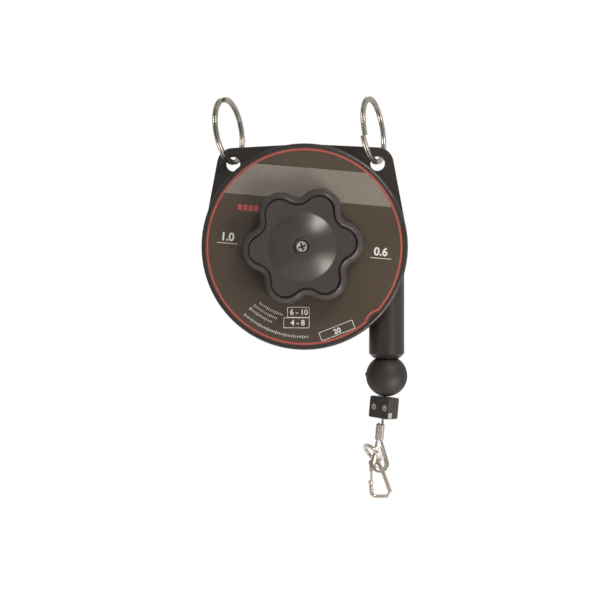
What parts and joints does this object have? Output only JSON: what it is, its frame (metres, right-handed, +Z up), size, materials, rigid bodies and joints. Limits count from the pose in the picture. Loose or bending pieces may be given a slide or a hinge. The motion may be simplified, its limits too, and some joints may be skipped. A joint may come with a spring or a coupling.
{
  "type": "tool balancer",
  "caption": "Hanging spring balancer: round casing on two split rings, lobed tension knob in front, and a rope with a stop ball, clamp and snap hook.",
  "frame": {"origin": "midway between the two hanging holes, on the middle plane of the hanging plate", "axes": "+Z up, the front with the knob faces -Y, +X to the viewer's right"},
  "size_m": [0.12, 0.0536, 0.2369],
  "materials": {
    "casing": "black fine texture paint on die cast aluminium",
    "label": "printed dark plate, satin",
    "knob": "dark grey moulded plastic, satin",
    "nickel": "nickel plated steel, bright",
    "steel": "turned steel",
    "spring_steel": "blued spring steel",
    "bronze": "sintered bronze",
    "drum": "natural nylon",
    "rope": "stranded steel wire rope",
    "rubber": "black rubber, dull",
    "clamp": "black moulded plastic",
    "ferrule": "pressed aluminium"
  },
  "bodies": {
    "casing": {"rear_casing": "casing", "front_cover": "casing", "label_plate": "label", "casing_screws": "steel", "rear_bush": "bronze", "front_bush": "bronze", "brake_ring": "steel", "guide_nozzle": "casing"},
    "arbor": {"arbor_shaft": "steel", "knob_sleeve": "steel", "wrap_spring": "spring_steel", "drum_clip": "spring_steel", "tension_knob": "knob", "knob_washer": "steel", "knob_screw": "steel"},
    "drum": {"rope_drum": "drum", "drum_cover": "steel", "drum_screws": "steel", "drum_bushes": "bronze", "power_spring": "spring_steel", "wound_rope": "rope", "rope_anchor": "steel"},
    "rope_end": {"rope_span": "rope", "eye_rope": "rope", "stop_ball": "rubber", "clamp_front": "clamp", "clamp_back": "clamp", "clamp_bar": "nickel", "clamp_screws": "nickel", "rope_ferrule": "ferrule", "eye_thimble": "nickel"},
    "hook": {"snap_hook": "nickel", "gate_pin": "nickel"},
    "gate": {"hook_gate": "nickel"},
    "left_ring": {"ring_left": "nickel"},
    "right_ring": {"ring_right": "nickel"}
  },
  "joints": [
    {"name": "knob_turn", "type": "hinge", "parent": "casing", "child": "arbor", "pos_m": [0, 0, -0.0485], "axis": [0, 1, 0], "range_deg": [0, 1440]},
    {"name": "drum_spin", "type": "hinge", "parent": "casing", "child": "drum", "pos_m": [0, 0, -0.0485], "axis": [0, 1, 0], "range_deg": [0, 2400], "stiffness_Nm_per_rad": 0.0022, "springref_deg": -6187.94, "deforming": ["power_spring"]},
    {"name": "rope_payout", "type": "slide", "parent": "casing", "child": "rope_end", "axis": [0, 0, -1], "range_m": [0, 1.99], "deforming": ["rope_span"]},
    {"name": "hook_swing", "type": "hinge", "parent": "rope_end", "child": "hook", "pos_m": [0.0407, 0.0097, -0.17093], "axis": [0, 1, 0], "range_deg": [-10, 10]},
    {"name": "gate_open", "type": "hinge", "parent": "hook", "child": "gate", "pos_m": [0.0384, 0.0115, -0.17616], "axis": [0, -1, 0], "range_deg": [0, 26], "stiffness_Nm_per_rad": 0.01, "springref_deg": -28.65},
    {"name": "ring_left_swing", "type": "hinge", "parent": "casing", "child": "left_ring", "pos_m": [-0.0424, 0, 0], "axis": [0, 1, 0], "range_deg": [-45, 25]},
    {"name": "ring_right_swing", "type": "hinge", "parent": "casing", "child": "right_ring", "pos_m": [0.0424, 0, 0], "axis": [0, 1, 0], "range_deg": [-10, 40]}
  ],
  "couplings": [
    {"joint": "rope_payout", "follows": "drum_spin", "m_per_rad": 0.0475}
  ]
}
